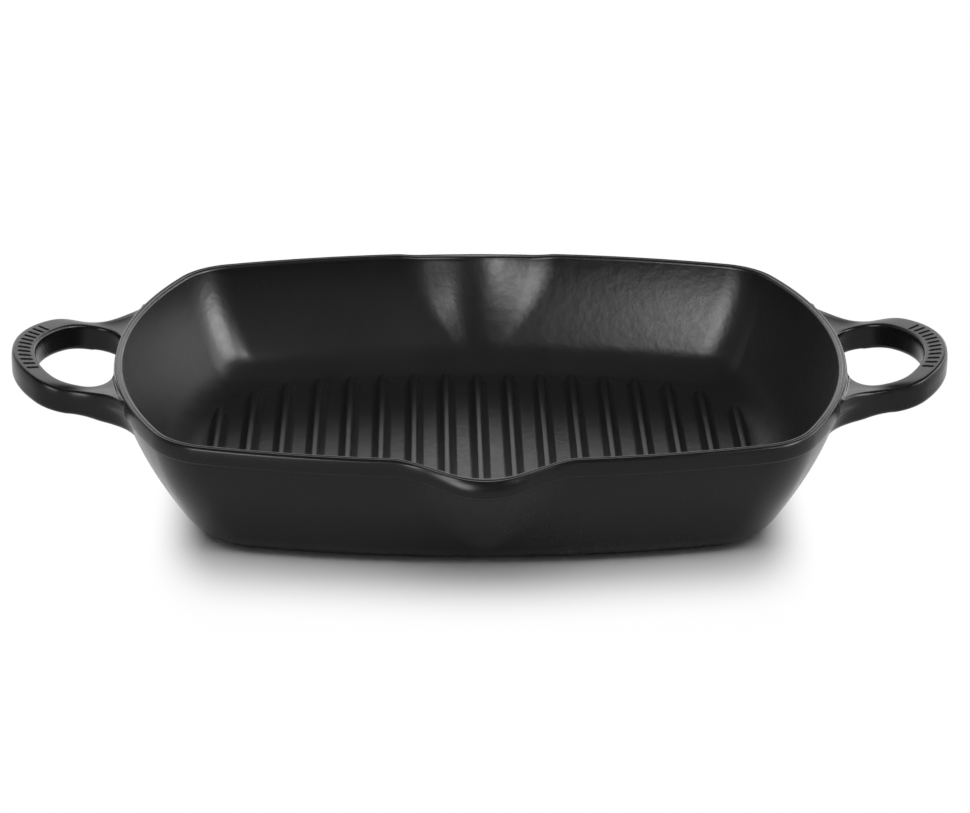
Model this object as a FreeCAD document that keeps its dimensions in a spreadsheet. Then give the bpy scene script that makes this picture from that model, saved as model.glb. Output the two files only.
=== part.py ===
import FreeCAD, Part
import Sketcher
import math
import os

# Rectangular grill pan: a flared bowl with ribs on its floor, two pouring spouts and two loop handles.
# Millimetres. The origin is under the middle of the floor, +X runs along the handles, +Z is up.

Vector = FreeCAD.Vector

driving_values = {
    # rim outline: two long arcs, two short arcs and four corner arcs
    "rim_length": 325.0,
    "rim_width": 239.0,
    "rim_height": 57.0,
    "rim_long_radius": 492.0,
    "rim_short_radius": 185.0,
    "rim_corner_radius": 33.0,
    # foot outline, before its edge is rounded
    "foot_length": 270.4,
    "foot_width": 195.0,
    "foot_long_radius": 510.0,
    "foot_short_radius": 171.0,
    "foot_corner_radius": 31.0,
    "foot_round_height": 9.5,
    "foot_round_inset": 7.0,
    # wall and floor
    "wall_bulge_share": 0.67,
    "wall_thickness": 4.0,
    "floor_thickness": 5.0,
    "floor_round_height": 12.0,
    "floor_round_inset": 9.0,
    "plate_margin": 3.2,
    "band_height": 7.5,
    # pouring spouts in the middle of both long sides
    "spout_width": 78.0,
    "spout_foot_width": 12.0,
    "spout_reach": 11.0,
    "spout_dip": 4.5,
    "spout_margin": 7.0,
    # searing ribs
    "rib_height": 4.5,
    "rib_foot_width": 9.0,
    "rib_crest_width": 3.2,
    "rib_crest_round": 1.2,
    "rib_end_gap": 1.1,
    "rib_side_gap": 2.2,
    # loop handles, measured in the plane of their top face from the end of the rim
    "handle_reach": 46.2,
    "handle_drop": 4.9,
    "handle_tilt_degrees": 10.5,
    "handle_width": 79.2,
    "handle_thickness": 12.0,
    "handle_tip_bow": 8.4,
    "handle_shoulder_radius": 18.0,
    "handle_flare_radius": 33.0,
    "handle_arm_width": 6.6,
    "handle_bar_width": 10.8,
    "gap_tip_bow": 6.3,
    "gap_shoulder_radius": 16.0,
    "gap_root_radius": 13.0,
    "gap_root_straight": 0.9,
    "handle_flare_degrees": 50.0,
    "gap_root_degrees": 50.0,
    "handle_sink": 22.0,
    "handle_top_round": 2.0,
    "handle_under_round": 2.5,
    # plain ridges across the outer bar of each handle
    "ridge_edge_gap": 0.25,
    "ridge_width": 1.9,
    "ridge_height": 0.7,
    "ridge_pitch": 4.3,
    # how far a cutting solid runs past what it cuts
    "overrun": 6.0,
}
rib_count = 17
ridge_count = 12

# Shares of the wall's height where its cross-sections are taken, above the rounded edge.
wall_level_shares = (0.12, 0.3, 0.5, 0.7, 0.87)
# Shares of the rounding's quarter turn where it is sampled.
round_turn_shares = (0.0, 0.3, 0.65, 1.0)
# The spout's bulge grows up the wall by this power of the height share.
spout_growth_power = 1.6
# The rib field is a superellipse of this power.
rib_field_power = 3.2
# A fillet takes at most this share of the width of the piece that it rounds.
fillet_limit_share = 0.45

doc = FreeCAD.newDocument("grill_pan")
sheet = doc.addObject("Spreadsheet::Sheet", "Sizes")
for row, (alias, number) in enumerate(driving_values.items(), start=1):
    sheet.set("A%d" % row, alias)
    sheet.set("B%d" % row, str(number))
    sheet.setAlias("B%d" % row, alias)
doc.recompute()


def size(alias):
    return float(sheet.get(alias))


def add_solid(name, shape):
    feature = doc.addObject("Part::Feature", name)
    feature.Shape = shape
    return feature


def add_boolean(kind, name, base, tool):
    feature = doc.addObject("Part::" + kind, name)
    feature.Base = base
    feature.Tool = tool
    return feature


def add_box(name, expressions):
    box = doc.addObject("Part::Box", name)
    for prop, expression in expressions.items():
        box.setExpression(prop, expression)
    return box


# Outlines and the wall's profile


def lerp(low, high, share):
    return low + (high - low) * share


def point_at(centre, radius, angle):
    return centre + Vector(math.cos(angle), math.sin(angle), 0) * radius


def arc_edge(start, middle, end):
    return Part.Arc(start, middle, end).toShape()


def bell(x, half_width, reach):
    """Height of two mirrored S-curves of equal arcs, as wide as the spout and as high as its reach."""
    x = abs(x)
    if x >= half_width or reach <= 0:
        return 0.0
    radius = (half_width ** 2 + reach ** 2) / (4 * reach)
    if x > half_width / 2:
        return radius - math.sqrt(radius ** 2 - (half_width - x) ** 2)
    return reach - radius + math.sqrt(radius ** 2 - x ** 2)


class Outline:
    """One level of the bowl: an oval of arcs with a bell-shaped bulge in both long sides."""

    def __init__(self, level):
        height = size("rim_height")
        share = level / height
        grown = share + size("wall_bulge_share") * share * (1 - share)
        self.level = level
        self.half_length = lerp(size("foot_length"), size("rim_length"), grown) / 2
        self.half_width = lerp(size("foot_width"), size("rim_width"), grown) / 2
        self.long_radius = lerp(size("foot_long_radius"), size("rim_long_radius"), grown)
        self.short_radius = lerp(size("foot_short_radius"), size("rim_short_radius"), grown)
        self.corner_radius = lerp(size("foot_corner_radius"), size("rim_corner_radius"), grown)
        apex = size("foot_round_height")
        climb = max(0.0, (level - apex) / (height - apex))
        self.bell_half_width = lerp(size("spout_foot_width"), size("spout_width"), climb) / 2
        self.bell_reach = size("spout_reach") * climb ** spout_growth_power

    def inset(self, depth):
        self.half_length -= depth
        self.half_width -= depth
        self.long_radius -= depth
        self.short_radius -= depth
        self.corner_radius -= depth
        return self

    def side_point(self, x):
        arc = self.half_width - self.long_radius + math.sqrt(self.long_radius ** 2 - x ** 2)
        return Vector(x, arc + bell(x, self.bell_half_width, self.bell_reach), self.level)

    def quarter(self):
        """Corner arc's centre and the angles where it meets the long and the short arc."""
        long_centre = Vector(0, self.half_width - self.long_radius, self.level)
        short_centre = Vector(self.half_length - self.short_radius, 0, self.level)
        to_short = short_centre - long_centre
        gap = to_short.Length
        from_long = self.long_radius - self.corner_radius
        from_short = self.short_radius - self.corner_radius
        along = (gap ** 2 + from_long ** 2 - from_short ** 2) / (2 * gap)
        across = math.sqrt(from_long ** 2 - along ** 2)
        ahead = to_short * (1 / gap)
        centre = long_centre + ahead * along + Vector(ahead.y, -ahead.x, 0) * across
        to_long = centre - long_centre
        to_side = centre - short_centre
        return centre, short_centre, math.atan2(to_long.y, to_long.x), math.atan2(to_side.y, to_side.x)

    def wire(self):
        centre, short_centre, long_angle, short_angle = self.quarter()
        corner = [
            point_at(centre, self.corner_radius, angle)
            for angle in (short_angle, (short_angle + long_angle) / 2, long_angle)
        ]
        tip = point_at(short_centre, self.short_radius, 0)
        edge_x = corner[2].x
        wide = self.bell_half_width
        stops = [edge_x, wide, wide / 2, -wide / 2, -wide, -edge_x]
        half = [(corner[0], corner[1], corner[2])]
        for start, end in zip(stops, stops[1:]):
            half.append((self.side_point(start), self.side_point((start + end) / 2), self.side_point(end)))
        half.append(tuple(Vector(-p.x, p.y, p.z) for p in reversed(corner)))
        end = Vector(-corner[0].x, -corner[0].y, self.level)
        half.append((half[-1][2], Vector(-tip.x, 0, self.level), end))
        turned = [tuple(Vector(-p.x, -p.y, p.z) for p in arc) for arc in half]
        return Part.Wire([arc_edge(*arc) for arc in half + turned])


def rounding(rise, height, inset):
    """How far a rounded foot draws in at this rise above its flat: a quarter of an ellipse."""
    if rise >= height:
        return 0.0
    return inset * (1 - math.sqrt(1 - (1 - rise / height) ** 2))


def bowl_loft(wall, floor, round_height, round_inset, top):
    """Solid bowl, drawn in by the wall, from its floor level up to the top level."""
    rises = [round_height * (1 - math.cos(share * math.pi / 2)) for share in round_turn_shares]
    foot = floor + round_height
    levels = [floor + rise for rise in rises]
    levels += [lerp(foot, size("rim_height"), share) for share in wall_level_shares]
    levels.append(top)
    wires = []
    for level in levels:
        draw_in = wall + rounding(level - floor, round_height, round_inset)
        wires.append(Outline(level).inset(draw_in).wire())
    return Part.makeLoft(wires, True, False)


def above_rim(drop):
    """Everything above the rim's line, lowered by drop: the line dips in the middle of both long sides."""
    wide = size("spout_width") / 2
    dip = size("spout_dip")
    line = size("rim_height") - drop
    top = size("rim_height") + size("overrun")
    end = size("rim_length") / 2 + size("overrun")
    depth = size("rim_width") + 2 * size("spout_reach") + 2 * size("overrun")

    def on_line(x):
        return Vector(x, -depth / 2, line - bell(x, wide, dip))

    stops = [-wide, -wide / 2, wide / 2, wide]
    edges = [Part.makeLine(on_line(-end), on_line(-wide))]
    for start, stop in zip(stops, stops[1:]):
        edges.append(arc_edge(on_line(start), on_line((start + stop) / 2), on_line(stop)))
    edges.append(Part.makeLine(on_line(wide), on_line(end)))
    corners = [Vector(end, -depth / 2, top), Vector(-end, -depth / 2, top)]
    edges.append(Part.makeLine(on_line(end), corners[0]))
    edges.append(Part.makeLine(corners[0], corners[1]))
    edges.append(Part.makeLine(corners[1], on_line(-end)))
    return Part.Face(Part.Wire(edges)).extrude(Vector(0, depth, 0))


# The bowl: an outer loft with the rim's band round its top, hollowed by an inner loft

outside = add_solid("bowl_outside", bowl_loft(
    0.0, 0.0, size("foot_round_height"), size("foot_round_inset"), size("rim_height")))
inside = add_solid("bowl_inside", bowl_loft(
    size("wall_thickness"), size("floor_thickness"), size("floor_round_height"), size("floor_round_inset"),
    size("rim_height") + size("overrun")))
band_zone = add_solid("band_zone", above_rim(size("band_height")))
open_zone = add_solid("open_zone", above_rim(0.0))

rim_outline = Outline(size("rim_height")).wire()
rim_drop = size("band_height") + size("spout_dip")
rim_prism = Part.Face(rim_outline).extrude(Vector(0, 0, -rim_drop))
rim_block = add_solid("rim_block", rim_prism)
band_block = add_boolean("Common", "band_block", rim_block, band_zone)
wall_block = add_boolean("Cut", "wall_block", outside, band_zone)
full_block = add_boolean("Fuse", "full_block", wall_block, band_block)
closed_pan = add_boolean("Cut", "closed_pan", full_block, open_zone)
pan_shell = add_boolean("Cut", "pan_shell", closed_pan, inside)

# The shell comes apart into the floor plate, the wall, the rim's band and the two spouts

plate_wire = Outline(0.0).inset(size("foot_round_inset") + size("plate_margin")).wire()
plate_zone = add_solid("plate_zone", Part.Face(plate_wire).extrude(Vector(0, 0, size("floor_thickness"))))

spout_zones = {}
for side, start in (("front", "-(Sizes.rim_width / 2 + Sizes.spout_reach + Sizes.overrun)"), ("back", "0")):
    spout_zones[side] = add_box("spout_zone_" + side, {
        "Length": "Sizes.spout_width + 2 * Sizes.spout_margin",
        "Width": "Sizes.rim_width / 2 + Sizes.spout_reach + Sizes.overrun",
        "Height": "Sizes.rim_height - Sizes.foot_round_height + Sizes.overrun",
        "Placement.Base.x": "-Sizes.spout_width / 2 - Sizes.spout_margin",
        "Placement.Base.y": start,
        "Placement.Base.z": "Sizes.foot_round_height",
    })
both_spout_zones = add_boolean("Fuse", "both_spout_zones", spout_zones["front"], spout_zones["back"])

nodes = []


def add_node(label, feature):
    feature.Label = label
    nodes.append(feature)
    return feature


add_node("base_floor", add_boolean("Common", "floor_piece", pan_shell, plate_zone))
for side, zone in spout_zones.items():
    add_node("pour_spout_" + side, add_boolean("Common", "spout_piece_" + side, pan_shell, zone))
shell_between = add_boolean("Cut", "shell_between", pan_shell, both_spout_zones)
rim_pieces = add_boolean("Common", "rim_pieces", shell_between, band_zone)
for side, start in (("left", "-(Sizes.rim_length / 2 + Sizes.overrun)"), ("right", "0")):
    half = add_box("rim_zone_" + side, {
        "Length": "Sizes.rim_length / 2 + Sizes.overrun",
        "Width": "Sizes.rim_width + 2 * Sizes.overrun",
        "Height": "Sizes.rim_height + Sizes.overrun",
        "Placement.Base.x": start,
        "Placement.Base.y": "-Sizes.rim_width / 2 - Sizes.overrun",
    })
    add_node("rim_band_" + side, add_boolean("Common", "rim_piece_" + side, rim_pieces, half))
wall_and_floor = add_boolean("Cut", "wall_and_floor", shell_between, band_zone)
add_node("side_wall", add_boolean("Cut", "wall_piece", wall_and_floor, plate_zone))
doc.recompute()


# Bodies drawn as a sketch and padded


def origin_plane(body, role):
    return [plane for plane in body.Origin.OriginFeatures if plane.Role == role][0]


def add_body(name):
    body = doc.addObject("PartDesign::Body", name)
    sketch = body.newObject("Sketcher::SketchObject", name + "_sketch")
    sketch.AttachmentSupport = [(origin_plane(body, "XY_Plane"), "")]
    sketch.MapMode = "FlatFace"
    return body, sketch


def add_pad(body, sketch, name, length):
    pad = body.newObject("PartDesign::Pad", name)
    pad.Profile = sketch
    pad.setExpression("Length", length)
    return pad


def edges_at(shape, height, slack):
    """Names of the edges that lie at this height in the body's own frame."""
    names = []
    for number, edge in enumerate(shape.Edges, start=1):
        box = edge.BoundBox
        if abs(box.ZMin - height) < slack and abs(box.ZMax - height) < slack:
            names.append("Edge%d" % number)
    return names


def add_fillet(body, base, name, edges, radius, wall):
    fillet = body.newObject("PartDesign::Fillet", name)
    fillet.Base = (base, edges)
    fillet.setExpression("Radius", "min(Sizes.%s; Sizes.%s * %s)" % (radius, wall, fillet_limit_share))
    return fillet


# Searing ribs: round-ended bars with sloping flanks and a rounded crest, spread evenly over the flat floor.
# Where the outer ones meet the rounding at the foot of the wall, they run into it.

floor_flat = Outline(size("floor_thickness")).inset(size("wall_thickness") + size("floor_round_inset"))
rib_room = 2 * (floor_flat.half_length - size("rib_side_gap")) - size("rib_foot_width")
rib_pitch = rib_room / (rib_count - 1)


def add_rib(number):
    name = "rib_%02d" % number
    offset = rib_pitch * (number - (rib_count + 1) / 2)
    field = floor_flat.half_width - size("rib_end_gap")
    inner_share = 1 - (abs(offset) / floor_flat.half_length) ** rib_field_power
    reach = field * inner_share ** (1 / rib_field_power)
    body, sketch = add_body(name)
    radius = size("rib_foot_width") / 2
    straight = reach - radius
    up = Vector(0, 0, 1)
    sketch.addGeometry([
        Part.ArcOfCircle(Part.Circle(Vector(0, straight, 0), up, radius), 0, math.pi),
        Part.ArcOfCircle(Part.Circle(Vector(0, -straight, 0), up, radius), math.pi, 2 * math.pi),
        Part.LineSegment(Vector(-radius, straight, 0), Vector(-radius, -straight, 0)),
        Part.LineSegment(Vector(radius, -straight, 0), Vector(radius, straight, 0)),
    ], False)
    start, end, centre = 1, 2, 3
    root = -1
    rule = Sketcher.Constraint
    sketch.addConstraint([
        rule("Tangent", 0, end, 2, start),
        rule("Tangent", 2, end, 1, start),
        rule("Tangent", 1, end, 3, start),
        rule("Tangent", 3, end, 0, start),
        rule("PointOnObject", 0, centre, -2),
        rule("Symmetric", 0, centre, 1, centre, root, 1),
        rule("DistanceY", 1, centre, 0, centre, 2 * straight),
    ])
    wide = sketch.addConstraint(rule("Radius", 0, radius))
    sketch.setExpression("Constraints[%d]" % wide, "Sizes.rib_foot_width / 2")
    doc.recompute()
    pad = add_pad(body, sketch, name + "_pad", "Sizes.rib_height")
    pad.setExpression(
        "TaperAngle", "-atan((Sizes.rib_foot_width - Sizes.rib_crest_width) / 2 / Sizes.rib_height)")
    doc.recompute()
    crest = edges_at(pad.Shape, size("rib_height"), size("rib_crest_round") / 4)
    add_fillet(body, pad, name + "_crest", crest, "rib_crest_round", "rib_crest_width")
    body.Placement = FreeCAD.Placement(Vector(offset, 0, size("floor_thickness")), FreeCAD.Rotation())
    return add_node("grill_rib_%02d" % number, add_boolean("Common", name + "_piece", body, inside))


for number in range(1, rib_count + 1):
    add_rib(number)
doc.recompute()


# Loop handles: a flat loop that tilts up from the rim, with vertical sides, trimmed by the bowl


def tip_radius(half_width, tip_bow, shoulder_radius):
    """Radius of the arc that bows this far past the shoulders and runs into both of them."""
    rise = half_width - shoulder_radius
    depth = shoulder_radius + tip_bow
    return (depth ** 2 + rise ** 2 - shoulder_radius ** 2) / (2 * tip_bow)


def half_loop(reach, half_width, tip_bow, shoulder_radius):
    """Corners of half a loop: where its arm ends, its shoulder arc and its tip, from the arm to the tip."""
    rise = half_width - shoulder_radius
    depth = shoulder_radius + tip_bow
    shoulder = Vector(reach - depth, rise, 0)
    meet = math.atan2(rise, tip_radius(half_width, tip_bow, shoulder_radius) - depth)
    arm_end = Vector(shoulder.x, half_width, 0)
    middle = point_at(shoulder, shoulder_radius, (meet + math.pi / 2) / 2)
    join = point_at(shoulder, shoulder_radius, meet)
    return arm_end, middle, join, Vector(reach, 0, 0)


def mirrored(point):
    return Vector(point.x, -point.y, point.z)


def closed_loop(upper):
    """Arcs and lines of the upper half, given as point lists from the root to the tip, with their mirror."""
    curves = []
    for points in upper:
        lower = [mirrored(point) for point in points]
        for stretch in (points, lower):
            if len(stretch) == 3:
                curves.append(Part.Arc(*stretch))
            else:
                curves.append(Part.LineSegment(*stretch))
    return curves


def handle_outline():
    half_width = size("handle_width") / 2
    arm_end, shoulder, join, tip = half_loop(
        size("handle_reach"), half_width, size("handle_tip_bow"), size("handle_shoulder_radius"))
    flare = size("handle_flare_radius")
    turn = math.radians(size("handle_flare_degrees"))
    flare_centre = Vector(arm_end.x, half_width + flare, 0)
    flare_middle = point_at(flare_centre, flare, -math.pi / 2 - turn / 2)
    flare_end = point_at(flare_centre, flare, -math.pi / 2 - turn)
    sunk = Vector(min(flare_end.x, 0) - size("handle_sink"), flare_end.y, 0)
    curves = closed_loop([
        [sunk, flare_end],
        [flare_end, flare_middle, arm_end],
        [arm_end, shoulder, join],
    ])
    curves.append(Part.Arc(join, tip, mirrored(join)))
    curves.append(Part.LineSegment(sunk, mirrored(sunk)))
    return curves


def gap_outline():
    half_width = size("handle_width") / 2 - size("handle_arm_width")
    arm_end, shoulder, join, tip = half_loop(
        size("handle_reach") - size("handle_bar_width"), half_width,
        size("gap_tip_bow"), size("gap_shoulder_radius"))
    root = size("gap_root_radius")
    root_start = arm_end - Vector(size("gap_root_straight"), 0, 0)
    root_centre = Vector(root_start.x, half_width - root, 0)
    turn = math.radians(size("gap_root_degrees"))
    root_middle = point_at(root_centre, root, (math.pi + turn) / 2)
    root_end = point_at(root_centre, root, math.pi / 2 + turn)
    sunk = Vector(min(root_end.x, 0) - size("handle_sink") + size("overrun"), root_end.y, 0)
    curves = closed_loop([
        [sunk, root_end],
        [root_end, root_middle, root_start],
        [root_start, arm_end],
        [arm_end, shoulder, join],
    ])
    curves.append(Part.Arc(join, tip, mirrored(join)))
    curves.append(Part.LineSegment(sunk, mirrored(sunk)))
    return curves


def place_handle(feature, turn_degrees):
    """Handle frames start at the rim's end, on the handle's top face, tilted up and turned to their side."""
    tilt = FreeCAD.Rotation(Vector(0, 1, 0), -size("handle_tilt_degrees"))
    turn = FreeCAD.Rotation(Vector(0, 0, 1), turn_degrees)
    root = Vector(size("rim_length") / 2, 0, size("rim_height") - size("handle_drop"))
    feature.Placement = FreeCAD.Placement(turn.multVec(root), turn * tilt)


def add_handle(side, turn_degrees):
    name = "handle_" + side
    body, sketch = add_body(name + "_loop")
    sketch.addGeometry(handle_outline() + gap_outline(), False)
    doc.recompute()
    pad = add_pad(body, sketch, name + "_pad", "Sizes.handle_thickness")
    tilt = math.radians(size("handle_tilt_degrees"))
    pad.UseCustomVector = True
    pad.Direction = Vector(-math.sin(tilt), 0, -math.cos(tilt))
    pad.AlongSketchNormal = False
    doc.recompute()
    slack = size("handle_top_round") / 4
    top = edges_at(pad.Shape, 0.0, slack)
    top_round = add_fillet(body, pad, name + "_top_round", top, "handle_top_round", "handle_arm_width")
    doc.recompute()
    under = edges_at(top_round.Shape, -size("handle_thickness") * math.cos(tilt), slack)
    add_fillet(body, top_round, name + "_under_round", under, "handle_under_round", "handle_arm_width")
    place_handle(body, turn_degrees)
    doc.recompute()
    return add_node(name, add_boolean("Cut", name + "_trimmed", body, closed_pan))


# Plain ridges across the top of each handle's outer bar


def add_ridges(side, turn_degrees):
    ridges = []
    bar = size("handle_bar_width")
    radius = tip_radius(size("handle_width") / 2, size("handle_tip_bow"), size("handle_shoulder_radius"))
    tip_centre = Vector(size("handle_reach") - radius, 0, 0)
    edge = size("handle_top_round") + size("ridge_edge_gap")
    for number in range(ridge_count):
        along = (number - (ridge_count - 1) / 2) * size("ridge_pitch")
        ridge = add_box("ridge_%s_%02d" % (side, number + 1), {
            "Length": "Sizes.handle_bar_width - 2 * (Sizes.handle_top_round + Sizes.ridge_edge_gap)",
            "Width": "Sizes.ridge_width",
            "Height": "Sizes.ridge_height",
        })
        turn = FreeCAD.Rotation(Vector(0, 0, 1), math.degrees(along / (radius - bar / 2)))
        corner = Vector(radius - bar + edge, -size("ridge_width") / 2, 0)
        ridge.Placement = FreeCAD.Placement(tip_centre + turn.multVec(corner), turn)
        ridges.append(ridge)
    group = doc.addObject("Part::Compound", "ridges_" + side)
    group.Links = ridges
    place_handle(group, turn_degrees)
    return add_node("grip_ridges_" + side, group)


for side, turn_degrees in (("right", 0), ("left", 180)):
    add_handle(side, turn_degrees)
    add_ridges(side, turn_degrees)
doc.recompute()

# Every object has to be sound before anything is written

for feature in doc.Objects:
    if "Invalid" in feature.State or "Error" in feature.State:
        raise RuntimeError("%s failed: %s" % (feature.Label, feature.State))
for node in nodes:
    if node.Shape.isNull() or not node.Shape.isValid():
        raise RuntimeError("%s has no sound shape" % node.Label)

os.makedirs("parts", exist_ok=True)
for node in nodes:
    node.Shape.exportStep("parts/%s.step" % node.Label)
    print("%-20s %d solids, %.1f cubic mm" % (node.Label, len(node.Shape.Solids), node.Shape.Volume))
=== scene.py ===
import bpy
import math
from mathutils import Matrix, Vector


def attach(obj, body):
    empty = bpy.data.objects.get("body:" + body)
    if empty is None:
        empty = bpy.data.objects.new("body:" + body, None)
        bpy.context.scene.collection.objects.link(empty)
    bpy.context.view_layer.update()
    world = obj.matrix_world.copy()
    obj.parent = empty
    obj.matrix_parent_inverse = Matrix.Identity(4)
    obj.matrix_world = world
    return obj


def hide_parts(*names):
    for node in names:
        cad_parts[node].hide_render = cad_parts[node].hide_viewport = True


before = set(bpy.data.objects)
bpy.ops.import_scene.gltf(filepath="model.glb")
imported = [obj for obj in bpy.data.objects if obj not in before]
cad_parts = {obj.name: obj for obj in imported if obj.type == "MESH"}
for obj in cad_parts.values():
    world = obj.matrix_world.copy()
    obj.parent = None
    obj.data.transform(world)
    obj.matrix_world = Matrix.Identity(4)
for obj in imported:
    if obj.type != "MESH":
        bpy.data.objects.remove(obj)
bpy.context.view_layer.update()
print("frame loaded:", len(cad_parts), "nodes")

quarterTurn = math.pi / 2
tiny = 1e-6  # a micron, too little to see


def mixed(low, high, share):
    return low + (high - low) * share


def clamped(share):
    return min(max(share, 0.0), 1.0)


def eased(share):
    return share * share * (3 - 2 * share)


def steps(count, first=0):
    return [k / count for k in range(first, count + 1)]


def between(count):
    return steps(count)[1:-1]  # both ends left out


def quarterRound(count, first=0):
    # over a quarter turn one share grows from 0 to 1 and the other shrinks from 1 to 0
    angles = [turn * quarterTurn for turn in steps(count, first)]
    return [(1 - math.cos(angle), 1 - math.sin(angle)) for angle in angles]


def onCircle(angle):
    return Vector((math.cos(angle), math.sin(angle)))


class Wire:  # a socket that can stand in a sum
    def __init__(self, tree, socket):
        self.tree = tree
        self.socket = socket

    def sum(self, operation, first, second=0.0):
        node = self.tree.nodes.new("ShaderNodeMath")
        node.operation = operation
        plug(self.tree, node.inputs[0], first)
        plug(self.tree, node.inputs[1], second)
        return Wire(self.tree, node.outputs[0])

    def __add__(self, other):
        return self.sum("ADD", self, other)

    def __radd__(self, other):
        return self.sum("ADD", other, self)

    def __sub__(self, other):
        return self.sum("SUBTRACT", self, other)

    def __rsub__(self, other):
        return self.sum("SUBTRACT", other, self)

    def __mul__(self, other):
        return self.sum("MULTIPLY", self, other)

    def __rmul__(self, other):
        return self.sum("MULTIPLY", other, self)

    def atMost(self, other):
        return self.sum("MINIMUM", self, other)

    def turnFrom(self, other):
        return self.sum("ARCTAN2", self, other)

    def rise(self):
        return self.sum("ARCSINE", self)


def plug(tree, socket, value):
    if isinstance(value, Wire):
        tree.links.new(value.socket, socket)
    else:
        socket.default_value = value


class Finish:  # a material or a world, and its nodes
    def __init__(self, owner):
        self.owner = owner
        self.owner.use_nodes = True
        self.tree = self.owner.node_tree
        self.tree.nodes.clear()

    def add(self, kind, settings, sockets, out=0):
        node = self.tree.nodes.new("ShaderNode" + kind)
        for name, value in settings.items():
            setattr(node, name, value)
        for name, value in sockets.items():
            plug(self.tree, node.inputs[name], value)
        if node.outputs:
            return Wire(self.tree, node.outputs[out])

    def noise(self, place, scale, grain):
        detail, roughness = grain
        return self.add("TexNoise", {}, {
            "Vector": place, "Scale": scale, "Detail": detail, "Roughness": roughness})

    def band(self, value, low, high):
        return self.add("MapRange", {"interpolation_type": "SMOOTHSTEP"}, {
            "Value": value, "From Min": low, "From Max": high})

    def blend(self, low, high, share):
        # a Mix node's colours are its inputs 6 and 7 and its output 2
        return self.add("Mix", {"data_type": "RGBA"}, {0: share, 6: low, 7: high}, 2)

    def bump(self, height, distance, under):
        return self.add("Bump", {}, {"Height": height, "Distance": distance, **under})

    def vector(self, operation, *vectors, out=0):
        return self.add("VectorMath", {"operation": operation}, dict(enumerate(vectors)), out)

    def show(self, shader, kind="Material"):
        self.add("Output" + kind, {}, {"Surface": shader})
        return self.owner


enamel = {  # sizes are noise scales for a metre, heights are in metres
    "gloss": {
        "dark": (0.006, 0.006, 0.0063, 1), "pale": (0.009, 0.009, 0.0094, 1),
        "worn": (0.020, 0.0195, 0.019, 1), "wornRoughness": 0.04,
        "roughness": 0.25, "cloudSpread": 0.10, "grainSpread": 0.06, "mottleSpread": 0.02,
        "cloudSize": 26.0, "waveSize": 55.0, "peelSize": 620.0, "mottleSize": 240.0,
        "waveHeight": 0.00012, "peelHeight": 0.000003, "mottleHeight": 0.000006,
        "scuffSpread": 0.0, "specular": 0.19, "sheen": 0.0,
    },
    "satin": {
        "dark": (0.0072, 0.0072, 0.0074, 1), "pale": (0.0108, 0.0108, 0.0111, 1),
        "worn": (0.020, 0.0195, 0.019, 1), "wornRoughness": 0.05,
        "roughness": 0.305, "cloudSpread": 0.06, "grainSpread": 0.04, "mottleSpread": 0.03,
        "cloudSize": 26.0, "waveSize": 70.0, "peelSize": 780.0, "mottleSize": 250.0,
        "waveHeight": 0.00010, "peelHeight": 0.000012, "mottleHeight": 0.00010,
        "scuffSpread": 0.0, "specular": 0.30, "sheen": 0.03,
    },
    "base": {
        "dark": (0.008, 0.008, 0.0082, 1), "pale": (0.016, 0.0158, 0.0156, 1),
        "worn": (0.034, 0.033, 0.032, 1), "wornRoughness": 0.08,
        "roughness": 0.50, "cloudSpread": 0.18, "grainSpread": 0.12, "mottleSpread": 0.10,
        "cloudSize": 34.0, "waveSize": 60.0, "peelSize": 700.0, "mottleSize": 260.0,
        "waveHeight": 0.00012, "peelHeight": 0.00005, "mottleHeight": 0.00006,
        "scuffSpread": 0.16, "specular": 0.25, "sheen": 0.06,
    },
}
enamel["rib"] = {**enamel["satin"], "sheen": 0.0}  # the ribs have no haze
glaze = {"index": 1.5, "sheenRoughness": 0.4}
grain = {  # detail and roughness of each noise
    "cloud": (4.0, 0.6), "wave": (2.0, 0.5), "peel": (3.0, 0.6), "mottle": (2.0, 0.55),
    "patch": (3.0, 0.5), "scuff": (2.0, 0.5), "middle": 0.5,
}
wear = {
    "edgeFrom": 0.515, "edgeTo": 0.60,
    "patchSize": 90.0, "patchFrom": 0.35, "patchTo": 0.65, "patchLeast": 0.3,
    "mottleFrom": 0.40, "mottleTo": 0.60,
    "scuffStretch": (60.0, 1400.0, 60.0), "scuffSize": 1.0, "scuffFrom": 0.58, "scuffTo": 0.72,
}


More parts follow.
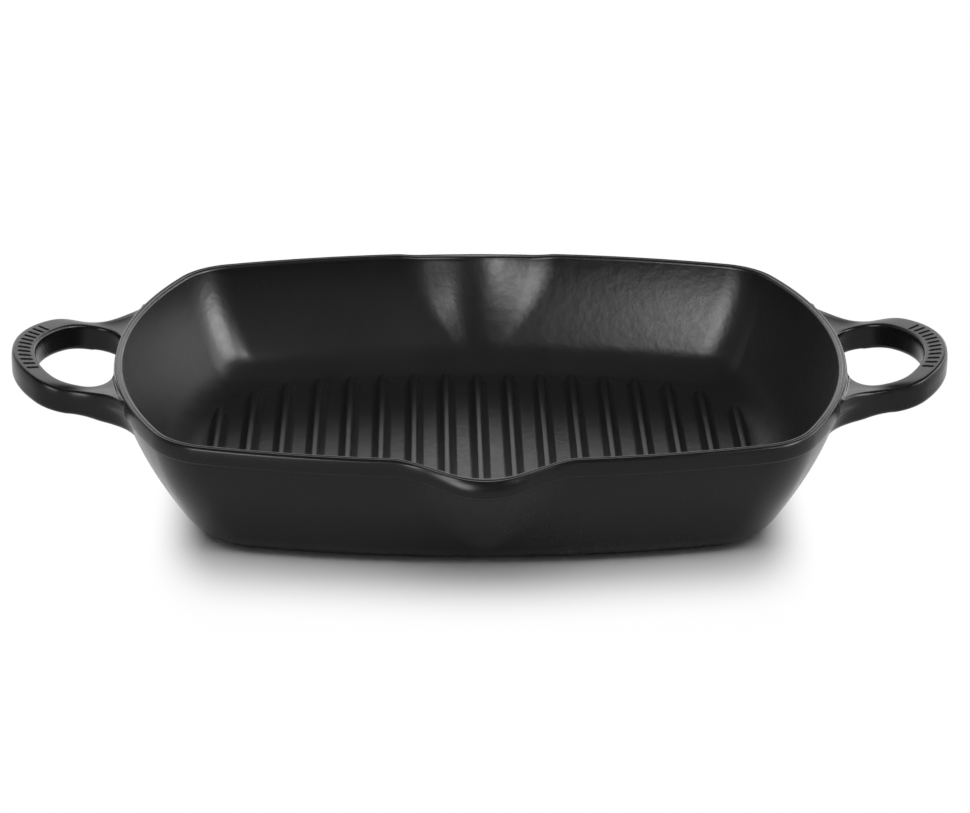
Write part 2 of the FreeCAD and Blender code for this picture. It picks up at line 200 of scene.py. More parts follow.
def enamelFinish(name, look):
    finish = Finish(bpy.data.materials.new(name))
    place = finish.add("TexCoord", {}, {}, "Object")
    cloud = finish.noise(place, look["cloudSize"], grain["cloud"])
    wave = finish.noise(place, look["waveSize"], grain["wave"])
    peel = finish.noise(place, look["peelSize"], grain["peel"])
    mottle = finish.noise(place, look["mottleSize"], grain["mottle"])
    blotch = finish.band(mottle, wear["mottleFrom"], wear["mottleTo"])
    # edges wear a little paler and smoother, in patches
    edge = finish.add("NewGeometry", {}, {}, "Pointiness")
    patch = finish.noise(place, wear["patchSize"], grain["patch"])
    patch = finish.band(patch, wear["patchFrom"], wear["patchTo"])
    worn = finish.band(edge, wear["edgeFrom"], wear["edgeTo"]) * mixed(wear["patchLeast"], 1.0, patch)
    # scuffs run along the stove bars
    along = finish.vector("MULTIPLY", place, wear["scuffStretch"])
    scuff = finish.noise(along, wear["scuffSize"], grain["scuff"])
    scuff = finish.band(scuff, wear["scuffFrom"], wear["scuffTo"]) * look["scuffSpread"]
    colour = finish.blend(look["dark"], look["pale"], cloud)
    colour = finish.blend(colour, look["worn"], worn + scuff)
    roughness = look["roughness"] - worn * look["wornRoughness"] - scuff
    for uneven, spread in ((cloud, "cloudSpread"), (peel, "grainSpread"), (blotch, "mottleSpread")):
        roughness = roughness + (uneven - grain["middle"]) * look[spread]
    normal = finish.bump(wave, look["waveHeight"], {})
    normal = finish.bump(peel, look["peelHeight"], {"Normal": normal})
    normal = finish.bump(mottle, look["mottleHeight"], {"Normal": normal})
    shader = finish.add("BsdfPrincipled", {}, {
        "Base Color": colour, "Roughness": roughness, "Normal": normal, "IOR": glaze["index"],
        "Specular IOR Level": look["specular"], "Sheen Weight": look["sheen"],
        "Sheen Roughness": glaze["sheenRoughness"]})
    return finish.show(shader)


glossEnamel = enamelFinish("glossEnamel", enamel["gloss"])
satinEnamel = enamelFinish("satinEnamel", enamel["satin"])
ribEnamel = enamelFinish("ribEnamel", enamel["rib"])
baseEnamel = enamelFinish("baseEnamel", enamel["base"])
print("enamel mixed")


def cast(name, points, faces, finishes, nodes, faceFinish=None):
    mesh = bpy.data.meshes.new(name)
    mesh.from_pydata([tuple(p) for p in points], [], faces)
    for finish in finishes:
        mesh.materials.append(finish)
    if faceFinish:
        mesh.polygons.foreach_set("material_index", faceFinish)
    mesh.polygons.foreach_set("use_smooth", [True] * len(mesh.polygons))
    mesh.validate()
    mesh.update()
    piece = bpy.data.objects.new(name, mesh)
    bpy.context.scene.collection.objects.link(piece)
    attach(piece, "root")
    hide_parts(*nodes)
    print(name, len(mesh.vertices), "points")


def skin(rings):
    # faces between rings of equal length, with both ends capped
    count = len(rings[0])
    faces = []
    for row in range(len(rings) - 1):
        for k in range(count):
            after = (k + 1) % count
            faces.append((row * count + k, row * count + after,
                          (row + 1) * count + after, (row + 1) * count + k))
    faces.append(tuple(range(count - 1, -1, -1)))
    last = (len(rings) - 1) * count
    faces.append(tuple(range(last, last + count)))
    return [p for ring in rings for p in ring], faces


pan = {  # in metres
    "height": 0.057,
    "rim": {"length": 0.325, "width": 0.239,
            "longRadius": 0.492, "shortRadius": 0.185, "cornerRadius": 0.033},
    "foot": {"length": 0.2704, "width": 0.195,
             "longRadius": 0.510, "shortRadius": 0.171, "cornerRadius": 0.031},
    "bulgeShare": 0.67,
    "wall": 0.004,
    "floor": 0.005,
    "footRound": (0.0095, 0.007),  # height and inset
    "floorRound": (0.012, 0.009),
    "bandHeight": 0.0075,
    "bandRound": 0.0010,
    "bandHollowShare": 0.55,
    "bandLeanTop": math.radians(17),
    "lipLeanTop": math.radians(36),
    "lipReach": (0.007, 0.026),  # the lip is full up to the first and gone at the second
    "bandLeanLow": math.radians(8),
    "rimOuterRound": 0.0009,
    "rimInnerRound": 0.0014,
    "spoutWidth": 0.078,
    "spoutFootWidth": 0.012,
    "spoutReach": 0.011,
    "spoutDip": 0.0045,
    "spoutGrowth": 1.05,
    "spoutBulge": 0.9,
    "spoutCurve": {"soft": 0.93, "nose": 0.51},
    "dipCurve": {"soft": 0.76, "nose": 0.78},
    "spoutShares": {"flank": 0.6, "nose": 0.3},
    "rimSeam": {"acrossShare": 0.52, "halfWidth": 0.00045, "depth": 0.00035,
                "profile": ((-1, 0), (-0.5, 0.35), (0, 1), (0.5, 0.35), (1, 0))},
    "columns": {"end": 22, "corner": 26, "side": 34, "shoulder": 12, "flank": 8, "nose": 10},
    "rows": {"foot": 12, "wall": 30, "hollow": 6, "under": 6, "band": 10, "rim": 7, "floorRound": 16},
    "baseRings": (0.03, 0.4, 0.75, 0.96),
    "floorRings": (0.97, 0.75, 0.4, 0.03),
}
glossSide, satinSide, baseSide = 0, 1, 2  # places in the shell's list of finishes


def vee(halfWidth, reach, curve):
    # slope, shoulder radius and nose radius of a rounded V
    both = curve["soft"] * (halfWidth ** 2 + reach ** 2) / (2 * reach)
    lead = math.atan2(both - reach, halfWidth)
    slope = math.asin(both / math.hypot(halfWidth, both - reach)) - lead
    return slope, both * (1 - curve["nose"]), both * curve["nose"]


def spoutPush(x, halfWidth, reach, curve):
    # how far the spout pushes the side out at x
    x = abs(x)
    if x >= halfWidth or reach < tiny:
        return 0.0
    slope, shoulder, nose = vee(halfWidth, reach, curve)
    if halfWidth - x < shoulder * math.sin(slope):
        return shoulder - math.sqrt(shoulder ** 2 - (halfWidth - x) ** 2)
    if x < nose * math.sin(slope):
        return reach - nose + math.sqrt(nose ** 2 - x ** 2)
    return reach - nose * (1 - math.cos(slope)) - (x - nose * math.sin(slope)) * math.tan(slope)


class Level:  # the oval at one height, drawn in by an inset
    def __init__(self, level, inset):
        share = level / pan["height"]
        grown = share + pan["bulgeShare"] * share * (1 - share)
        size = {key: mixed(pan["foot"][key], pan["rim"][key], grown) for key in pan["rim"]}
        self.halfLength = size["length"] / 2 - inset
        self.halfWidth = size["width"] / 2 - inset
        self.longRadius = size["longRadius"] - inset
        self.shortRadius = size["shortRadius"] - inset
        self.cornerRadius = size["cornerRadius"] - inset
        apex = pan["footRound"][0]
        climb = max(0.0, (level - apex) / (pan["height"] - apex))
        widened = climb + pan["spoutBulge"] * climb * (1 - climb)
        self.spoutHalf = mixed(pan["spoutFootWidth"], pan["spoutWidth"], widened) / 2
        self.spoutReach = pan["spoutReach"] * climb ** pan["spoutGrowth"]
        # the corner's arc touches the long side's and the end's
        self.longCentre = Vector((0, self.halfWidth - self.longRadius))
        self.endCentre = Vector((self.halfLength - self.shortRadius, 0))
        apart = self.endCentre - self.longCentre
        gap = apart.length
        fromLong = self.longRadius - self.cornerRadius
        fromEnd = self.shortRadius - self.cornerRadius
        along = (gap ** 2 + fromLong ** 2 - fromEnd ** 2) / (2 * gap)
        across = math.sqrt(fromLong ** 2 - along ** 2)
        ahead = apart / gap
        self.corner = self.longCentre + ahead * along + Vector((ahead.y, -ahead.x)) * across
        toLong = self.corner - self.longCentre
        toEnd = self.corner - self.endCentre
        self.longAngle = math.atan2(toLong.y, toLong.x)
        self.endAngle = math.atan2(toEnd.y, toEnd.x)

    def onSide(self, x):
        arc = self.halfWidth - self.longRadius + math.sqrt(self.longRadius ** 2 - x ** 2)
        return Vector((x, arc + spoutPush(x, self.spoutHalf, self.spoutReach, pan["spoutCurve"])))

    def pastEnd(self, x, y):
        return math.hypot(x - self.endCentre.x, y) - self.shortRadius

    def point(self, stretch, share):
        if stretch == "end":
            return self.endCentre + onCircle(self.endAngle * share) * self.shortRadius
        if stretch == "corner":
            angle = mixed(self.endAngle, self.longAngle, share)
            return self.corner + onCircle(angle) * self.cornerRadius
        if stretch == "side":
            edge = self.corner.x + math.cos(self.longAngle) * self.cornerRadius
            return self.onSide(mixed(edge, self.spoutHalf, share))
        flank, nose = pan["spoutShares"]["flank"], pan["spoutShares"]["nose"]
        if stretch == "shoulder":
            return self.onSide(self.spoutHalf * mixed(1.0, flank, share))
        if stretch == "flank":
            return self.onSide(self.spoutHalf * mixed(flank, nose, share))
        return self.onSide(self.spoutHalf * mixed(nose, 0.0, share))


levels = {}  # the levels already worked out
levelDigits = 7


def levelAt(level, inset=0.0):
    key = (round(level, levelDigits), round(inset, levelDigits))
    if key not in levels:
        levels[key] = Level(level, inset)
    return levels[key]


def quarterColumns():
    columns = []
    for stretch, count in pan["columns"].items():
        columns += [(stretch, k / count) for k in range(count)]
    return columns + [("nose", 1.0)]


def rowAt(flat, z, side=glossSide):
    return flat.x, flat.y, z, side


def wallRows(column, wallTop):
    # the underside, the foot and the outer wall
    footHeight, footInset = pan["footRound"]
    flat = levelAt(0.0, footInset).point(*column)
    rows = [rowAt(flat * share, 0.0, baseSide) for share in pan["baseRings"]]
    for grow, shrink in quarterRound(pan["rows"]["foot"]):
        z = footHeight * grow
        rows.append(rowAt(levelAt(z, footInset * shrink).point(*column), z))
    for share in steps(pan["rows"]["wall"], 1):
        z = mixed(footHeight, wallTop, share)
        rows.append(rowAt(levelAt(z).point(*column), z))
    return rows


def acrossRim(column, outer, top):
    # the way over the rim to the inside, and how far it is
    over = levelAt(top - pan["rimInnerRound"], pan["wall"]).point(*column) - outer
    return over.normalized(), over.length


def bandRows(column, outer, top, hollow):
    # the hollow under the band, the band's lower edge and face, and the rim's outer edge
    bandLow = top - pan["bandHeight"]
    over = levelAt(bandLow - hollow).point(*column) - outer
    inward, depth = over.normalized(), over.length
    rows = []
    for grow, shrink in quarterRound(pan["rows"]["hollow"], 1):
        rows.append(rowAt(outer + inward * (depth - hollow * grow), bandLow - hollow * shrink))
    # the spouts' lips roll over
    full, gone = pan["lipReach"]
    lip = clamped((gone - abs(outer.x)) / (gone - full)) if outer.y > abs(outer.x) else 0.0
    leanTop = mixed(pan["bandLeanTop"], pan["lipLeanTop"], eased(lip))
    leanLow = pan["bandLeanLow"]
    # the band's face is a shallow bow, widest near its lower edge
    sines = math.sin(leanTop) + math.sin(leanLow)
    outerRound = pan["rimOuterRound"]
    roughBow = (pan["bandHeight"] - outerRound - pan["bandRound"]) / sines
    spare = depth - hollow - roughBow * (1 - math.cos(leanLow))
    under = min(pan["bandRound"], spare / math.cos(leanLow))
    underHeight = under * (1 - math.sin(leanLow))
    bow = (pan["bandHeight"] - outerRound * (1 - math.sin(leanTop)) - underHeight) / sines
    lowIn = bow * (1 - math.cos(leanLow))
    topIn = bow * (1 - math.cos(leanTop))
    widest = bandLow + underHeight + bow * math.sin(leanLow)
    for turn in steps(pan["rows"]["under"]):
        angle = mixed(quarterTurn, leanLow, turn)
        across = lowIn + under * (math.cos(leanLow) - math.cos(angle))
        rows.append(rowAt(outer + inward * across, bandLow + under * (1 - math.sin(angle))))
    for turn in steps(pan["rows"]["band"], 1):
        angle = mixed(-leanLow, leanTop, turn)
        rows.append(rowAt(outer + inward * bow * (1 - math.cos(angle)), widest + bow * math.sin(angle)))
    inward = acrossRim(column, outer, top)[0]
    for turn in steps(pan["rows"]["rim"], 1):
        angle = mixed(leanTop, quarterTurn, turn)
        across = topIn + outerRound * (math.cos(leanTop) - math.cos(angle))
        rows.append(rowAt(outer + inward * across, top - outerRound * (1 - math.sin(angle))))
    return rows


def insideRows(column, outer, top):
    # the seam on the rim, the rim's inner edge, the inner wall and the floor
    inward, width = acrossRim(column, outer, top)
    innerRound, wall, floor = pan["rimInnerRound"], pan["wall"], pan["floor"]
    floorHeight, floorInset = pan["floorRound"]
    seam = pan["rimSeam"]
    rows = []
    for spread, sunk in seam["profile"]:
        across = width * seam["acrossShare"] + spread * seam["halfWidth"]
        side = satinSide if spread > 0 else glossSide
        rows.append(rowAt(outer + inward * across, top - seam["depth"] * sunk, side))
    rows.append(rowAt(outer + inward * (width - innerRound), top, satinSide))
    for grow, shrink in quarterRound(pan["rows"]["rim"], 1):
        across = width - innerRound * shrink
        rows.append(rowAt(outer + inward * across, top - innerRound * grow, satinSide))
    for share in steps(pan["rows"]["wall"], 1):
        z = mixed(top - innerRound, floor + floorHeight, share)
        rows.append(rowAt(levelAt(z, wall).point(*column), z, satinSide))
    for grow, shrink in quarterRound(pan["rows"]["floorRound"], 1):
        z = floor + floorHeight * shrink
        rows.append(rowAt(levelAt(z, wall + floorInset * grow).point(*column), z, satinSide))
    flat = levelAt(floor, wall + floorInset).point(*column)
    return rows + [rowAt(flat * share, floor, satinSide) for share in pan["floorRings"]]


def panColumn(column):
    # one line of points from the middle of the underside, over the rim, to the middle of the floor
    outer = levelAt(pan["height"]).point(*column)
    top = pan["height"] - spoutPush(outer.x, pan["spoutWidth"] / 2, pan["spoutDip"], pan["dipCurve"])
    bandLow = top - pan["bandHeight"]
    hollow = (levelAt(bandLow).point(*column) - outer).length * pan["bandHollowShare"]
    rows = wallRows(column, bandLow - hollow)
    rows += bandRows(column, outer, top, hollow)
    return rows + insideRows(column, outer, top)


def panShell():
    quarter = [panColumn(column) for column in quarterColumns()]
    there, back = quarter[:-1], quarter[:0:-1]
    around = []
    for columns, signX, signY in ((there, 1, 1), (back, -1, 1), (there, -1, -1), (back, 1, -1)):
        around += [[(x * signX, y * signY, z) for x, y, z, side in column] for column in columns]
    rings = [list(ring) for ring in zip(*around)]
    points, faces = skin(rings)
    sides = [row[-1] for row in quarter[0]]
    faceFinish = [side for side in sides[1:] for column in around]
    faceFinish += [baseSide, satinSide]  # the two caps
    nodes = ["base_floor", "side_wall", "rim_band_left", "rim_band_right",
             "pour_spout_front", "pour_spout_back"]
    finishes = [glossEnamel, satinEnamel, baseEnamel]
    cast("panShell", points, faces, finishes, nodes, faceFinish)


panShell()


roundBar = {"endSteps": 18, "straightSteps": 10}


def barRings(reach, profile, footHalf):
    # profile goes up from the foot as (half width, height); the ends are round in plan
    straight = reach - footHalf
    rings = []
    for half, z in profile:
        ring = []
        for end, start in ((1, 0.0), (-1, math.pi)):
            for turn in steps(roundBar["endSteps"]):
                angle = math.pi * turn + start
                ring.append(Vector((math.cos(angle) * half, end * straight + math.sin(angle) * half, z)))
            for share in between(roundBar["straightSteps"]):
                ring.append(Vector((-end * half, mixed(end * straight, -end * straight, share), z)))
        rings.append(ring)
    return rings


rib = {
    "count": 17, "height": 0.0045, "seatWidth": 0.0090, "footWidth": 0.0078, "crestWidth": 0.0032,
    "slim": 0.0007, "crestRound": 0.0013, "crestTip": 0.0002, "crestSteps": 7,
    "footHollow": 0.0030, "hollowSteps": 6, "endGap": 0.0011, "sideGap": 0.0022,
    "fieldPower": 3.2, "sink": 0.0004, "settle": 0.00008,
}


def ribProfile():
    footHalf = (rib["footWidth"] - rib["slim"]) / 2
    crestHalf = (rib["crestWidth"] - rib["slim"]) / 2
    height, hollow, crest = rib["height"], rib["footHollow"], rib["crestRound"]
    slope = math.atan2(height, footHalf - crestHalf)
    reach = hollow * math.tan(slope / 2)
    profile = [(footHalf + reach, -rib["sink"])]
    for turn in steps(rib["hollowSteps"]):
        angle = slope * turn
        profile.append((footHalf + reach - hollow * math.sin(angle), hollow * (1 - math.cos(angle))))
    back = crest * math.tan(slope / 2)
    for turn in steps(rib["crestSteps"]):
        angle = slope * (1 - turn)
        profile.append((crestHalf - back + crest * math.sin(angle), height - crest * (1 - math.cos(angle))))
    profile.append((rib["crestTip"], height))
    return profile


def searingRibs():
    flat = levelAt(pan["floor"], pan["wall"] + pan["floorRound"][1])
    room = 2 * (flat.halfLength - rib["sideGap"]) - rib["seatWidth"]  # spacing follows the solid ribs
    pitch = room / (rib["count"] - 1)
    profile = ribProfile()
    for number in range(1, rib["count"] + 1):
        offset = pitch * (number - (rib["count"] + 1) / 2)
        inner = 1 - (abs(offset) / flat.halfLength) ** rib["fieldPower"]
        reach = (flat.halfWidth - rib["endGap"]) * inner ** (1 / rib["fieldPower"])
        rings = barRings(reach, profile, rib["footWidth"] / 2)
        lift = Vector((offset, 0, pan["floor"] - rib["settle"]))
        points, faces = skin([[p + lift for p in ring] for ring in rings])
        nodes = ["grill_rib_%02d" % number]
        cast("searingRib%02d" % number, points, faces, [ribEnamel], nodes)


searingRibs()


handle = {
    "reach": 0.0462, "drop": 0.0049, "tilt": math.radians(10.5), "width": 0.0792,
    "tipThickness": 0.0124, "rootThickness": 0.0112, "taperStart": 0.020,
    "tipBow": 0.0084, "shoulderRadius": 0.018, "flareRadius": 0.033, "flareTurn": math.radians(66),
    "armWidth": 0.0066, "barWidth": 0.0108,
    "gapTipBow": 0.0063, "gapShoulderRadius": 0.016, "gapRootStraight": 0.0009,
    "gapRootRadius": 0.013, "gapRootTurn": math.radians(80), "gapTailStep": 0.001,
    "edgeRound": 0.0015, "sideLean": math.radians(14), "leanHeight": 0.0040,
    "innerRound": 0.0013, "innerShare": 0.3, "underRound": 0.0024, "underShare": 0.45,
    "crownDrop": 0.0008, "crownAt": 0.020, "crownSpread": 0.007,
    "flareRise": 0.0021, "flareRiseFrom": 0.014, "flareRiseTo": -0.004,
    "topFillet": 0.0010, "topRise": 0.0018, "topReach": 0.014, "bandBlend": 0.0008,
    "underFillet": 0.006, "rootDrop": 0.0010, "rootReach": 0.022, "rootDepth": 0.0015, "flareFade": 0.010,
    "fadedDropShare": 0.6,
    "loopSteps": {"tip": 24, "shoulder": 20, "flare": 40, "straight": 4, "root": 28, "tail": 8},
    "sectionSteps": {"lean": 5, "round": 7, "flat": 5, "side": 4},
}


def arcPoints(centre, radius, start, end, count):
    return [centre + onCircle(mixed(start, end, k / count)) * radius for k in range(count)]


def tipRadius(halfWidth, bow, shoulder):
    depth = shoulder + bow
    return (depth ** 2 + (halfWidth - shoulder) ** 2 - shoulder ** 2) / (2 * bow)


def halfLoop(reach, halfWidth, bow, shoulder):
    # from the tip round the shoulder to the end of the arm
    radius = tipRadius(halfWidth, bow, shoulder)
    rise = halfWidth - shoulder
    tipCentre = Vector((reach - radius, 0))
    shoulderCentre = Vector((reach - shoulder - bow, rise))
    meet = math.atan2(rise, shoulderCentre.x - tipCentre.x)
    points = arcPoints(tipCentre, radius, 0, meet, handle["loopSteps"]["tip"])
    points += arcPoints(shoulderCentre, shoulder, meet, quarterTurn, handle["loopSteps"]["shoulder"])
    return points, Vector((shoulderCentre.x, halfWidth))


def outerHalf():
    half = handle["width"] / 2
    points, armEnd = halfLoop(handle["reach"], half, handle["tipBow"], handle["shoulderRadius"])
    flare = handle["flareRadius"]
    centre = armEnd + Vector((0, flare))
    end = -quarterTurn - handle["flareTurn"]
    return points + arcPoints(centre, flare, -quarterTurn, end, handle["loopSteps"]["flare"])


def innerHalf():
    half = handle["width"] / 2 - handle["armWidth"]
    reach = handle["reach"] - handle["barWidth"]
    points, armEnd = halfLoop(reach, half, handle["gapTipBow"], handle["gapShoulderRadius"])
    count = handle["loopSteps"]
    start = armEnd - Vector((handle["gapRootStraight"], 0))
    points += [mixed(armEnd, start, share) for share in steps(count["straight"])[:-1]]
    root = handle["gapRootRadius"]
    end = quarterTurn + handle["gapRootTurn"]
    points += arcPoints(start - Vector((0, root)), root, quarterTurn, end, count["root"])
    # a straight tail runs on into the wall
    last = points[-1]
    ahead = (last - points[-2]).normalized()
    return points + [last + ahead * handle["gapTailStep"] * k for k in range(1, count["tail"] + 1)]


def toWall(x, y, z):
    # how far outside the bowl's end a point lies, and the bowl's level there
    level = levelAt(min(max(z, 0.0), pan["height"]))
    rim = levelAt(pan["height"])
    blend = handle["bandBlend"]
    overBand = z - pan["height"] + pan["bandHeight"]
    share = clamped((overBand + blend) / (2 * blend))
    return mixed(level.pastEnd(x, y), rim.pastEnd(x, y), share), level


def hollowRise(distance, radius):
    gap = radius * (1 - clamped(distance / radius))
    return radius - math.sqrt(radius ** 2 - gap ** 2)


def thicknessAt(x):
    return mixed(handle["rootThickness"], handle["tipThickness"], clamped(x / handle["taperStart"]))


def crownAt(x):
    # the arms' tops slope down to the outside, and the flare's outer edge climbs to the rim
    slope = handle["crownDrop"] * math.exp(-((x - handle["crownAt"]) / handle["crownSpread"]) ** 2)
    share = (x - handle["flareRiseFrom"]) / (handle["flareRiseTo"] - handle["flareRiseFrom"])
    return slope - handle["flareRise"] * eased(clamped(share))


def handleSection(outer, inner):
    # closed loop of (distance in from the outer edge, height under the top plane)
    width = (inner - outer).length
    crown = crownAt(outer.x)
    lean, edge = handle["sideLean"], handle["edgeRound"]
    leanRadius = handle["leanHeight"] / math.sin(lean)
    top = leanRadius * (1 - math.cos(lean)) + edge * math.cos(lean)
    side = -handle["leanHeight"] - edge * (1 - math.sin(lean)) - crown
    innerRound = min(handle["innerRound"], width * handle["innerShare"])
    underRound = min(handle["underRound"], width * handle["underShare"])
    low = -thicknessAt(outer.x)
    count = handle["sectionSteps"]
    loop = []
    for turn in steps(count["lean"])[:-1]:
        angle = lean * turn
        loop.append((leanRadius * (1 - math.cos(angle)), side + leanRadius * math.sin(angle)))
    for turn in steps(count["round"]):
        angle = mixed(lean, quarterTurn, turn)
        loop.append((top - edge * math.cos(angle), edge * (math.sin(angle) - 1) - crown))
    for share in between(count["flat"]):
        loop.append((mixed(top, width - innerRound, share), -crown * (1 - share) ** 2))
    for grow, shrink in quarterRound(count["round"]):
        loop.append((width - innerRound * shrink, -innerRound * grow))
    for share in between(count["side"]):
        loop.append((width, mixed(-innerRound, low + underRound, share)))
    for grow, shrink in quarterRound(count["round"]):
        loop.append((width - underRound * grow, low + underRound * shrink))
    for share in between(count["flat"]):
        loop.append((mixed(width - underRound, underRound, share), low))
    for grow, shrink in quarterRound(count["round"]):
        loop.append((underRound * shrink, low + underRound * grow))
    for share in between(count["side"]):
        loop.append((0.0, mixed(low + underRound, side, share)))
    return loop


def handlePoint(flat, rise):
    tilt = handle["tilt"]
    return Vector((pan["rim"]["length"] / 2 + flat.x * math.cos(tilt), flat.y,
                   pan["height"] - handle["drop"] + flat.x * math.sin(tilt) + rise))


def handleRing(outer, inner):
    inward = (inner - outer).normalized()
    proud = toWall(*handlePoint(outer, 0.0))[0]
    merge = eased(1 - clamped(proud / handle["flareFade"]))
    rim = levelAt(pan["height"])
    ring = []
    for across, rise in handleSection(outer, inner):
        place = handlePoint(outer + inward * across, rise)
        distance = toWall(*place)[0]
        lean = rise / (thicknessAt(outer.x) / 2) + 1
        if lean > 0:
            near = 1 - clamped(distance / handle["topReach"])
            swell = hollowRise(distance, handle["topFillet"]) + handle["topRise"] * near ** 2
        else:
            near = 1 - clamped(distance / handle["rootReach"])
            swell = hollowRise(distance, handle["underFillet"]) + handle["rootDrop"] * near ** 2
            swell *= 1 - merge * handle["fadedDropShare"]
        place.z += swell * lean
        distance, level = toWall(*place)
        away = Vector((place.x - level.endCentre.x, place.y)).normalized()
        # the flare's side leans in with the wall, and nothing goes deeper into it than the root
        push = -max(distance - rim.pastEnd(place.x, place.y), 0.0) * merge
        push += max(-handle["rootDepth"] - distance - push, 0.0)
        ring.append(place + Vector((away.x, away.y, 0)) * push)
    return ring


def loopHandle(side, turn):
    half = list(zip(outerHalf(), innerHalf()))
    mirror = [(Vector((outer.x, -outer.y)), Vector((inner.x, -inner.y))) for outer, inner in half[1:]]
    rings = []
    for outer, inner in half[::-1] + mirror:  # this way round the faces look outwards
        rings.append([Vector((p.x * turn, p.y * turn, p.z)) for p in handleRing(outer, inner)])
    points, faces = skin(rings)
    cast("loopHandle" + side, points, faces, [glossEnamel], ["handle_" + side.lower()])


ridge = {
    "count": 12, "edgeIn": 0.0021, "outIn": 0.0004, "width": 0.0027, "height": 0.00042, "pitch": 0.0043,
    "sink": 0.0005, "tipShare": 0.04, "swellPower": 1.5, "swellSteps": 9,
}


def ridgeProfile():
    # a low rounded swell
    half = ridge["width"] / 2
    profile = [(half, -ridge["sink"]), (half, 0.0)]
    for share in steps(ridge["swellSteps"], 1):
        swell = math.sin(share * quarterTurn) ** ridge["swellPower"]
        profile.append((half * mixed(1.0, ridge["tipShare"], share), ridge["height"] * swell))
    return profile


def gripRidges(side, turn):
    radius = tipRadius(handle["width"] / 2, handle["tipBow"], handle["shoulderRadius"])
    barHalf = handle["barWidth"] / 2
    middle = radius - barHalf
    tipCentre = Vector((handle["reach"] - radius, 0))
    points, faces = [], []
    for number in range(ridge["count"]):
        along = (number - (ridge["count"] - 1) / 2) * ridge["pitch"]
        rings = []
        for ring in barRings(barHalf - ridge["edgeIn"], ridgeProfile(), ridge["width"] / 2):
            placed = []
            for p in ring:
                away = Vector((middle - ridge["outIn"] + p.y, -p.x))
                away.rotate(Matrix.Rotation(along / middle, 2))
                spot = handlePoint(tipCentre + away, p.z)
                placed.append(Vector((spot.x * turn, spot.y * turn, spot.z)))
            rings.append(placed)
        more, moreFaces = skin(rings)
        faces += [tuple(k + len(points) for k in face) for face in moreFaces]
        points += more
    cast("gripRidges" + side, points, faces, [glossEnamel], ["grip_ridges_" + side.lower()])


for side, turn in (("Right", 1), ("Left", -1)):
    loopHandle(side, turn)
    gripRidges(side, turn)


stage = {
    "floorReach": 4.0, "floorDrop": 0.0002, "floorColour": (0.9, 0.9, 0.9, 1), "white": (1, 1, 1, 1),
    "shadowCore": (0.106, 0.075, 0.0), "shadowSqueeze": (2.6, 1.0, 1.0),
    "whiteFrom": 0.030, "whiteTo": 0.100, "studio": 0.14, "studioGloss": 0.08,
    "lamp": {"elevation": math.radians(82), "distance": 1.2, "size": (1.9, 1.5), "radiance": 2.5},
}
# azimuth from the front, right positive; degrees; soft is half the width of a card's faded edge
cards = {
    "left": {"azimuth": (-45, -17), "elevation": (3, 30), "soft": 6, "radiance": 13.0},
    "leftSide": {"azimuth": (-165, -95), "elevation": (4, 30), "soft": 8, "radiance": 0.5},
    "right": {"azimuth": (56, 86), "elevation": (7, 31), "soft": 6, "radiance": 16.0},
    "rightSide": {"azimuth": (90, 124), "elevation": (2, 36), "soft": 6, "radiance": 4.2},
    "rightHigh": {"azimuth": (38, 50), "elevation": (29, 40), "soft": 4, "radiance": 22.0},
    "around": {"azimuth": (-200, 200), "elevation": (-10, 34), "soft": 8, "radiance": 0.26},
    "side": {"azimuth": (112, 162), "elevation": (5, 19), "soft": 5, "radiance": 3.4},
    "backdropRight": {"azimuth": (160, 200), "elevation": (4, 42), "soft": 10, "radiance": 1.65},
    "backdropLeft": {"azimuth": (-200, -150), "elevation": (4, 42), "soft": 10, "radiance": 1.65},
}


def paleFloor():
    # white all round, fading to a plain lit floor that keeps the shadow under the pan
    finish = Finish(bpy.data.materials.new("paleFloor"))
    place = finish.add("TexCoord", {}, {}, "Object")
    beyond = finish.vector("SUBTRACT", finish.vector("ABSOLUTE", place), stage["shadowCore"])
    beyond = finish.vector("MAXIMUM", beyond, (0, 0, 0))
    beyond = finish.vector("MULTIPLY", beyond, stage["shadowSqueeze"])
    reach = finish.vector("LENGTH", beyond, out="Value")
    camera = finish.add("LightPath", {}, {}, "Is Camera Ray")
    glossy = finish.add("LightPath", {}, {}, "Is Glossy Ray")
    clear = finish.add("LightPath", {}, {}, "Is Transmission Ray")
    white = finish.add("Emission", {}, {"Color": stage["white"], "Strength": 1.0})
    lit = finish.add("BsdfDiffuse", {}, {"Color": stage["floorColour"]})
    share = finish.band(reach, stage["whiteFrom"], stage["whiteTo"]) * (camera + glossy + clear).atMost(1.0)
    material = finish.show(finish.add("MixShader", {}, {0: share, 1: lit, 2: white}))
    mesh = bpy.data.meshes.new("paleFloor")
    far = stage["floorReach"]
    mesh.from_pydata([(far, far, 0), (-far, far, 0), (-far, -far, 0), (far, -far, 0)], [], [(0, 1, 2, 3)])
    mesh.materials.append(material)
    floor = bpy.data.objects.new("paleFloor", mesh)
    bpy.context.scene.collection.objects.link(floor)
    floor.location.z = -stage["floorDrop"]


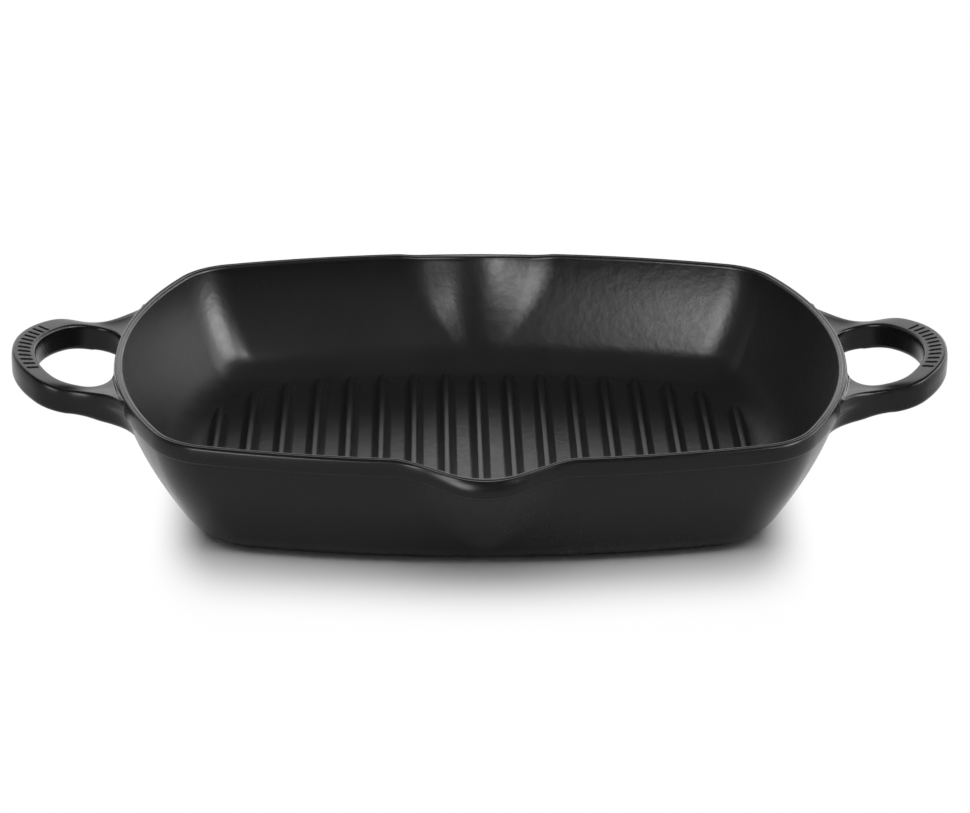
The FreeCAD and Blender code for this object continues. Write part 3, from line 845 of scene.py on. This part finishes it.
def studioWorld():
    # white to the camera, dim to the rest, with bright cards that only reflections show
    world = bpy.data.worlds.new("studio")
    bpy.context.scene.world = world
    finish = Finish(world)
    way = finish.add("TexCoord", {}, {}, "Generated")
    across, ahead, upward = [finish.add("SeparateXYZ", {}, {0: way}, axis) for axis in range(3)]
    azimuth = across.turnFrom(0 - ahead)
    elevation = upward.rise()
    camera = finish.add("LightPath", {}, {}, "Is Camera Ray")
    glossy = finish.add("LightPath", {}, {}, "Is Glossy Ray")
    clear = finish.add("LightPath", {}, {}, "Is Transmission Ray")
    shine = stage["studioGloss"] - stage["studio"]
    for card in cards.values():
        seen = card["radiance"]
        soft = math.radians(card["soft"])
        for angle, reach in ((azimuth, card["azimuth"]), (elevation, card["elevation"])):
            low, high = [math.radians(edge) for edge in reach]
            seen = seen * finish.band(angle, low - soft, low + soft)
            seen = seen * finish.band(angle, high + soft, high - soft)
        shine = shine + seen
    white = (camera + clear).atMost(1.0)
    strength = stage["studio"] + white * (1 - stage["studio"]) + glossy * shine
    finish.show(finish.add("Background", {}, {"Color": stage["white"], "Strength": strength}), "World")


def softbox():
    # one large lamp overhead lights the floor and the pan evenly
    lamp = stage["lamp"]
    light = bpy.data.lights.new("softbox", "AREA")
    light.shape = "RECTANGLE"
    light.size, light.size_y = lamp["size"]
    light.energy = lamp["radiance"] * math.pi * light.size * light.size_y
    box = bpy.data.objects.new("softbox", light)
    bpy.context.scene.collection.objects.link(box)
    up = lamp["elevation"]
    box.location = Vector((0, -math.cos(up), math.sin(up))) * lamp["distance"]
    box.rotation_euler = (quarterTurn - up, 0, 0)
    box.visible_glossy = False  # the cards make the reflections
    box.visible_camera = False


view = {
    "elevation": math.radians(24.0), "yaw": math.radians(1.230), "roll": math.radians(0.40),
    "focalPixels": 3162.0, "distance": 1.407, "across": -0.0021, "up": 0.0255, "framePixels": 970,
    "sensor": 36.0, "clip": (0.01, 50),
}


def photoCamera():
    camera = bpy.data.cameras.new("photoCamera")
    camera.sensor_width = view["sensor"]
    camera.sensor_fit = "HORIZONTAL"
    camera.lens = view["sensor"] * view["focalPixels"] / view["framePixels"]
    camera.clip_start, camera.clip_end = view["clip"]
    eye = bpy.data.objects.new("photoCamera", camera)
    bpy.context.scene.collection.objects.link(eye)
    up = view["elevation"]
    right, above = Vector((1, 0, 0)), Vector((0, math.sin(up), math.cos(up)))
    ahead = Vector((0, math.cos(up), -math.sin(up)))
    place = -right * view["across"] - above * view["up"] - ahead * view["distance"]
    turned = Matrix.Rotation(-view["yaw"], 4, "Z")
    axes = Matrix((right, above, -ahead)).transposed().to_4x4()
    shift = Matrix.Translation(Vector((0, 0, pan["height"])) + turned @ place)
    eye.matrix_world = shift @ turned @ axes @ Matrix.Rotation(view["roll"], 4, "Z")
    bpy.context.scene.camera = eye


paleFloor()
studioWorld()
softbox()
photoCamera()
bpy.context.scene.view_settings.view_transform = "Standard"
print("stage lit")
